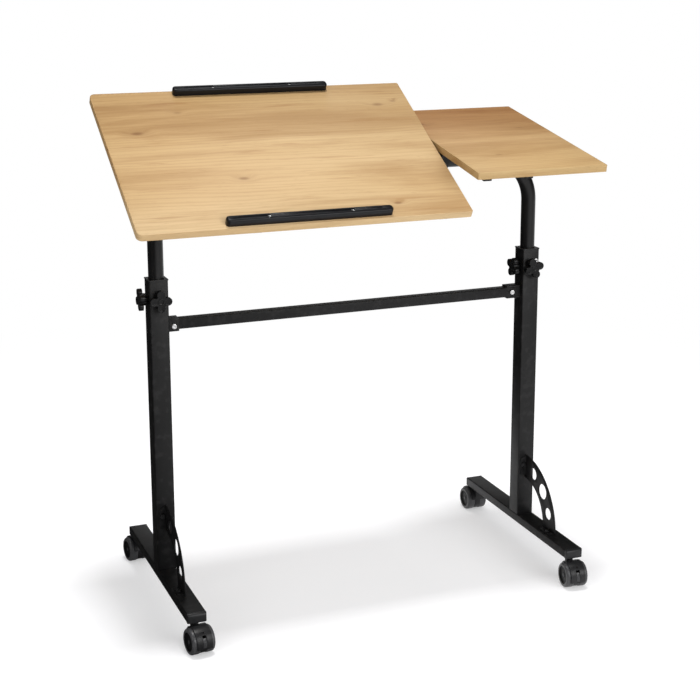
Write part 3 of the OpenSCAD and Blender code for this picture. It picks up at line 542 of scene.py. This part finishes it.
def cutAway(bm, cutter):
    # takes the shape cutter out of the shape bm
    objects = []
    for shape in (bm, cutter):
        closeShape(shape)
        mesh = bpy.data.meshes.new("cut")
        shape.to_mesh(mesh)
        shape.free()
        objects.append(bpy.data.objects.new("cut", mesh))
        bpy.context.scene.collection.objects.link(objects[-1])
    body, tool = objects
    boolean = body.modifiers.new("cut", "BOOLEAN")
    boolean.operation, boolean.solver, boolean.object = "DIFFERENCE", "EXACT", tool
    made = bmesh.new()
    bpy.context.view_layer.update()
    made.from_object(body, bpy.context.evaluated_depsgraph_get())
    for item in objects:
        mesh = item.data
        bpy.data.objects.remove(item)
        bpy.data.meshes.remove(mesh)
    return made


def makeRails():
    size = railSizes
    for which, y in (("front", size["frontY"]), ("rear", size["rearY"])):
        base = boardSizes["rise"] + boardSizes["thick"]
        low = Vector((size["x"] - size["length"] / 2, y - size["depth"] / 2, base)) * mm
        high = Vector((size["x"] + size["length"] / 2, y + size["depth"] / 2, base + size["height"])) * mm
        bm = startBox(low, high)
        roundEdges(bm, edgesAlong(bm, 2), size["end"] * mm, 8)
        topRim = [e for e in sharpEdges(bm, 60) if min(v.co.z for v in e.verts) > high.z - 1e-6]
        roundEdges(bm, topRim, size["top"] * mm, 6)
        middle = Vector((size["x"] * mm, y * mm, high.z))
        reach = Vector((size["grooveLength"] / 2, size["grooveWidth"] / 2, 0)) * mm
        bottom = Vector((0, 0, size["grooveDepth"] * mm))
        groove = startBox(middle - reach - bottom, middle + reach + Vector((0, 0, 2 * mm)))
        roundEdges(groove, edgesAlong(groove, 2), size["grooveCorner"] * mm, 4)
        bm = cutAway(bm, groove)
        for s in (-1, 1):
            radius, deep = size["screwR"] * mm, 2 * size["screwSeat"] * mm
            at = Matrix.Translation(((size["x"] + s * size["screwX"]) * mm, y * mm, high.z))
            hole = bmesh.new()
            bmesh.ops.create_cone(hole, cap_ends=True, segments=32, radius1=radius, radius2=radius,
                                  depth=deep, matrix=at)
            bm = cutAway(bm, hole)
        roundEdges(bm, sharpEdges(bm, 50), 0.25 * mm, 2)
        addPiece(which + "_rail_bar", bm, [which + "_stop_rail"], finishes["rails"],
                 boardPlace(boardSizes["main"]["tilt"]), 40)


makeBoards()
makeRails()
print("boards and rails made")


# ---- square tubes ----

tubeSizes = {"columnCorner": 2.6, "footCorner": 2.4, "barCorner": 1.8,
             "columnWall": 2, "footWall": 2, "barWall": 1.5, "ends": 0.35}


def squareTube(node, axis, wall, corner):
    low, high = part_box(node)
    bm = startBox(low, high)
    roundEdges(bm, edgesAlong(bm, axis), corner * mm, 5)
    along = Vector([1 if i == axis else 0 for i in range(3)])
    bmesh.ops.delete(bm, geom=facesTowards(bm, along) + facesTowards(bm, -along), context="FACES")
    bmesh.ops.solidify(bm, geom=bm.faces, thickness=wall * mm)
    closeShape(bm)
    roundEdges(bm, sharpEdges(bm, 60), tubeSizes["ends"] * mm, 2)
    return addPiece(node + "_tube", bm, [node], crease=40)


def makeFrameTubes():
    for side in ("left", "right"):
        squareTube(side + "_column", 2, tubeSizes["columnWall"], tubeSizes["columnCorner"])
        squareTube(side + "_foot", 1, tubeSizes["footWall"], tubeSizes["footCorner"])
    squareTube("crossbar", 0, tubeSizes["barWall"], tubeSizes["barCorner"])


liftSizes = {"radius": 16, "bend": 100, "leftX": -413, "rightX": 441, "legEnd": 340, "axis": 920,
             "around": 56, "turns": 28}


def makeLiftTube():
    # one round tube swept up the left leg, over the top and down the right leg
    size = liftSizes
    bm = bmesh.new()
    bmesh.ops.create_circle(bm, cap_ends=True, segments=size["around"], radius=size["radius"] * mm)
    bmesh.ops.translate(bm, vec=(size["leftX"] * mm, 0, size["legEnd"] * mm), verts=bm.verts)

    def push(face, vector):
        grown = bmesh.ops.extrude_face_region(bm, geom=face)["geom"]
        bmesh.ops.delete(bm, geom=face, context="FACES_ONLY")
        bmesh.ops.translate(bm, vec=vector, verts=vertsOf(grown))
        return facesOf(grown)

    def turn(face, centre, angle):
        grown = bmesh.ops.spin(bm, geom=face, cent=centre, axis=(0, 1, 0), dvec=(0, 0, 0), angle=angle,
                               steps=size["turns"], use_merge=False, use_duplicate=False)["geom_last"]
        bmesh.ops.delete(bm, geom=face, context="FACES_ONLY")
        return facesOf(grown)

    bendZ = (size["axis"] - size["bend"]) * mm
    face = facesOf(bmesh.ops.duplicate(bm, geom=bm.faces[:])["geom"])
    face = push(face, (0, 0, bendZ - size["legEnd"] * mm))
    face = turn(face, ((size["leftX"] + size["bend"]) * mm, 0, bendZ), math.radians(90))
    face = push(face, ((size["rightX"] - size["leftX"] - 2 * size["bend"]) * mm, 0, 0))
    face = turn(face, ((size["rightX"] - size["bend"]) * mm, 0, bendZ), math.radians(90))
    face = push(face, (0, 0, size["legEnd"] * mm - bendZ))
    closeShape(bm)
    addPiece("lift_tube_bent", bm, ["lift_tube"], crease=50)


makeFrameTubes()
makeLiftTube()
print("frame tubes made")


# ---- star knobs ----

knobSizes = {
    "radius": 23, "lobe": 8.5, "lobes": 4, "notch": 12.2, "thick": 9, "edge": 2.4, "around": 160,
    "nut": 3, "gap": 1, "hub": 6, "hubR": 12.0, "rib": 0.8, "ribs": 8, "capR": 7,
}
knobPlaces = {
    "left_front": {"turn": 0}, "left_side": {"turn": 20},
    "right_front": {"turn": 20}, "right_side": {"turn": -28},
}


def starReach(angle, size):
    # how far the lobed outline reaches at an angle
    step = 2 * math.pi / size["lobes"]
    off = abs((angle + step / 2) % step - step / 2)
    centre = size["radius"] - size["lobe"]
    across = centre * math.sin(off)
    lobe = 0
    if across < size["lobe"]:
        lobe = centre * math.cos(off) + math.sqrt(size["lobe"] ** 2 - across ** 2)
    soft = 14
    return (lobe ** soft + size["notch"] ** soft) ** (1 / soft)


def starPlate(size, low, high, edge):
    # a lobed plate between two heights with its rim rounded on both faces
    bm = bmesh.new()
    bmesh.ops.create_circle(bm, cap_ends=True, segments=size["around"], radius=1)
    for vert in bm.verts:
        angle = math.atan2(vert.co.y, vert.co.x)
        reach = min(starReach(angle, size), size["radius"]) * mm
        vert.co = Vector((math.cos(angle) * reach, math.sin(angle) * reach, low * mm))
    grown = bmesh.ops.extrude_face_region(bm, geom=bm.faces[:])["geom"]
    bmesh.ops.translate(bm, vec=(0, 0, (high - low) * mm), verts=vertsOf(grown))
    closeShape(bm)
    roundEdges(bm, sharpEdges(bm, 60), edge * mm, 4)
    return bm


def turned(profile, around=48):
    # a closed shape turned about Z from [radius, height] points on the way from the axis and back to it
    bm = bmesh.new()
    verts = [bm.verts.new((r * mm, 0, z * mm)) for r, z in profile]
    for a, b in zip(verts, verts[1:]):
        bm.edges.new((a, b))
    bmesh.ops.spin(bm, geom=bm.verts[:] + bm.edges[:], cent=(0, 0, 0), axis=(0, 0, 1), dvec=(0, 0, 0),
                   angle=2 * math.pi, steps=around, use_merge=True, use_duplicate=False)
    closeShape(bm)
    return bm


def knobShape(size):
    head = size["nut"] + size["gap"] + size["hub"]
    top = head + size["thick"]
    hubTop = (top - 0.8) * mm
    bm = starPlate(size, head, top, size["edge"])
    rimmed = facesTowards(bm, (0, 0, 1))
    bmesh.ops.inset_region(bm, faces=rimmed, thickness=1.6 * mm, depth=-0.5 * mm, use_even_offset=True)
    hub = bmesh.new()
    bmesh.ops.create_circle(hub, cap_ends=True, segments=size["ribs"] * 10, radius=1)
    for vert in hub.verts:
        angle = math.atan2(vert.co.y, vert.co.x)
        rib = max(-1, min(1, 2.2 * math.cos(size["ribs"] * angle)))
        reach = (size["hubR"] + size["rib"] * rib) * mm
        vert.co = Vector((math.cos(angle) * reach, math.sin(angle) * reach, hubTop))
    grown = bmesh.ops.extrude_face_region(hub, geom=hub.faces[:])["geom"]
    bmesh.ops.translate(hub, vec=(0, 0, (head - size["hub"]) * mm - hubTop), verts=vertsOf(grown))
    closeShape(hub)
    roundEdges(hub, sharpEdges(hub, 60), 0.5 * mm, 2)
    addMesh(bm, hub)
    r = size["capR"]
    cap = turned([(0, top - 2), (r, top - 2), (r, top - 0.4), (r - 0.3, top - 0.1), (r - 0.8, top),
                  (r - 2.4, top), (r - 2.9, top - 0.35), (r - 3.4, top - 0.45), (0, top - 0.45)])
    addMesh(bm, cap)
    return bm


def makeKnobs():
    for which, place in knobPlaces.items():
        joint = joints[which + "_clamp_turn"]
        out = Vector(joint["axis"])
        side = Vector((0, 0, 1)).cross(out)
        turn = Matrix((side, Vector((0, 0, 1)), out)).transposed().to_4x4()
        at = Matrix.Translation(joint["pos_m"]) @ turn @ Matrix.Rotation(math.radians(place["turn"]), 4, "Z")
        addPiece(which + "_star_knob", knobShape(knobSizes), [which + "_knob"], finishes["knobs"], at, 40)
        softCopy(which + "_stud", 0.3)


lockSizes = dict(knobSizes, radius=13, lobe=4.8, notch=6.8, thick=11, edge=1.8, around=120, foot=8.5)


def makeLocks():
    foot = lockSizes["foot"]
    for which in ("main", "side"):
        joint = joints[which + "_lock_turn"]
        out = Vector(joint["axis"])
        side = Vector((1, 0, 0))
        turn = Matrix((side, out.cross(side), out)).transposed().to_4x4()
        at = Matrix.Translation(joint["pos_m"]) @ turn
        bm = starPlate(lockSizes, foot, foot + lockSizes["thick"], lockSizes["edge"])
        face = facesTowards(bm, (0, 0, 1))
        bmesh.ops.inset_region(bm, faces=face, thickness=1.2 * mm, depth=-0.4 * mm, use_even_offset=True)
        addPiece(which + "_lock_star", bm, [which + "_lock_knob"], finishes["knobs"], at, 40)
        softCopy(which + "_lock_stud", 0.3)


makeKnobs()
makeLocks()
print("knobs made")


# ---- castors ----

wheelSizes = {"radius": 27, "inner": 7, "outer": 24.5, "disc": 19, "sink": 3, "axle": 3}


def wheelShape(size):
    # one wheel about Z, its outer face up
    axle, r, a, b, d = (size[key] for key in ("axle", "radius", "inner", "outer", "disc"))
    s = b - size["sink"]
    profile = [(axle, a + 0.4), (9, a + 0.4), (9.6, a + 1.2), (r - 6, a + 1.2), (r - 5.2, a + 0.3),
               (r - 1.4, a), (r - 0.5, a + 0.4), (r, a + 1.4), (r, b - 4.4), (r - 0.25, b - 3.2),
               (r - 0.9, b - 1.7), (r - 2.0, b - 0.6), (r - 3.4, b), (d + 1.0, b), (d + 0.3, b - 0.3),
               (d, b - 1.0), (d - 0.2, s), (d - 3.2, s), (d - 3.6, s - 0.3), (d - 4.0, s), (6.2, s),
               (5.8, s + 0.5), (4.6, s + 0.9), (axle, s + 1.0)]
    bm = bmesh.new()
    verts = [bm.verts.new((r * mm, 0, z * mm)) for r, z in profile]
    for i, vert in enumerate(verts):
        bm.edges.new((vert, verts[(i + 1) % len(verts)]))
    bmesh.ops.spin(bm, geom=bm.verts[:] + bm.edges[:], cent=(0, 0, 0), axis=(0, 0, 1), dvec=(0, 0, 0),
                   angle=2 * math.pi, steps=72, use_merge=True, use_duplicate=False)
    closeShape(bm)
    # faces of the recessed disc get the second, darker finish, which holds painted shade of the recess
    for face in bm.faces:
        middle = face.calc_center_median()
        face.material_index = int(middle.xy.length < (d + 0.4) * mm and middle.z > (s - 1) * mm)
    cover = turned([(0, s + 0.2), (axle + 0.6, s + 0.2), (axle + 0.6, s + 1.3), (axle - 0.4, s + 1.6),
                    (0, s + 1.8)])
    addMesh(bm, cover)
    return bm


def makeCastors():
    for which in ("front_left", "front_right", "rear_left", "rear_right"):
        along = Vector(joints[which + "_wheels_roll"]["axis"])
        swivel = Matrix.Rotation(math.atan2(along.y, along.x), 4, "Z")
        centre = Matrix.Translation(joints[which + "_wheels_roll"]["pos_m"]) @ swivel
        pair = bmesh.new()
        for s in (-1, 1):
            addMesh(pair, wheelShape(wheelSizes), centre @ Matrix.Rotation(math.radians(90 * s), 4, "Y"))
        bmesh.ops.recalc_face_normals(pair, faces=pair.faces)
        addPiece(which + "_wheel_pair", pair, [which + "_castor_wheels"], crease=40,
                 second=finishes["wheelDiscs"])
        softCopy(which + "_castor_hood", 0.6, 3)
        softCopy(which + "_castor_axle", 0.3)
        if which.startswith("front"):
            softCopy(which + "_castor_brake", 0.4, 2, finishes["brakes"])


makeCastors()
print("castors made")


# ---- small steel and plastic pieces with rounded edges ----

# the width of each rounding in mm and its steps
smallPieces = {
    "left_gusset": (0.5, 2), "right_gusset": (0.5, 2), "left_crossbar_bracket": (0.5, 2),
    "right_crossbar_bracket": (0.5, 2), "crossbar_bolts": (0.35, 2), "gusset_bolts": (0.35, 2),
    "foot_bolts": (0.4, 2), "lift_stop_screw": (0.4, 2), "castor_stems": (0.4, 2),
    "knob_nuts": (0.4, 2), "column_bushes": (0.5, 2), "foot_end_caps": (1.0, 3),
    "lift_tube_glides": (0.5, 2), "rail_screws": (0.25, 2), "main_support_screws": (0.25, 2),
    "side_support_screws": (0.25, 2), "main_left_support": (0.5, 2), "main_right_support": (0.5, 2),
    "side_left_support": (0.5, 2), "side_right_support": (0.5, 2),
}
for node, (width, steps) in smallPieces.items():
    softCopy(node, width, steps)
for node, item in frame["nodes"].items():
    item.data.materials.clear()
    item.data.materials.append(finishOf(node))
print("small pieces made")
